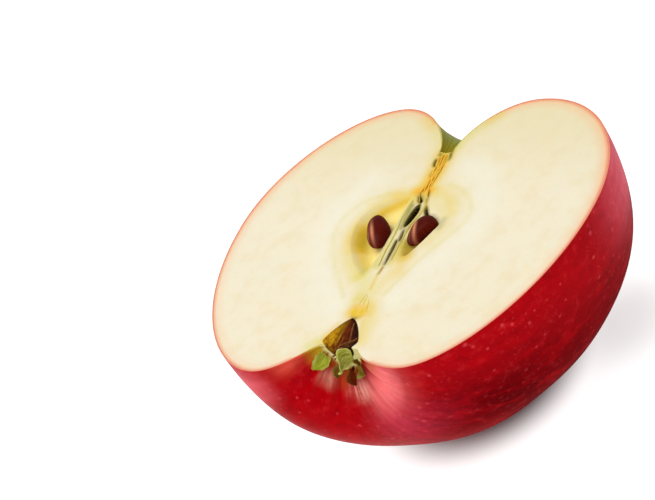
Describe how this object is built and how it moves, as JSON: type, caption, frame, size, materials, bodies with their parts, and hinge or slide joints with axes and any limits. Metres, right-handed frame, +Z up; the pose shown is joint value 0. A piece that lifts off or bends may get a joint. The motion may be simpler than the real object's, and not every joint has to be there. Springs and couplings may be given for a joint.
{
  "type": "apple half",
  "caption": "Half of a red apple cut from stem end to calyx, lying on its skin with the flat cut face up, showing cream flesh, core and dark seeds.",
  "frame": {"origin": "middle of the small flat spot of the skin that the half rests on", "axes": "+X across the cut face, +Y towards the stem end, +Z up out of the cut face"},
  "size_m": [0.078, 0.0668, 0.0396],
  "materials": {
    "apple_skin": "waxy red skin with fine streaks and pale dots",
    "apple_flesh": "moist cream flesh, yellow round the core",
    "seed_coat": "glossy dark red-brown",
    "sepal_green": "dry, pale green to olive",
    "sepal_brown": "dry, dark brown"
  },
  "bodies": {
    "root": {"apple_body": "apple_skin", "seed_left": "seed_coat", "seed_right": "seed_coat", "sepal_left": "sepal_green", "sepal_right": "sepal_green", "sepal_olive": "sepal_green", "sepal_under": "sepal_green", "sepal_brown": "sepal_brown"}
  },
  "joints": []
}
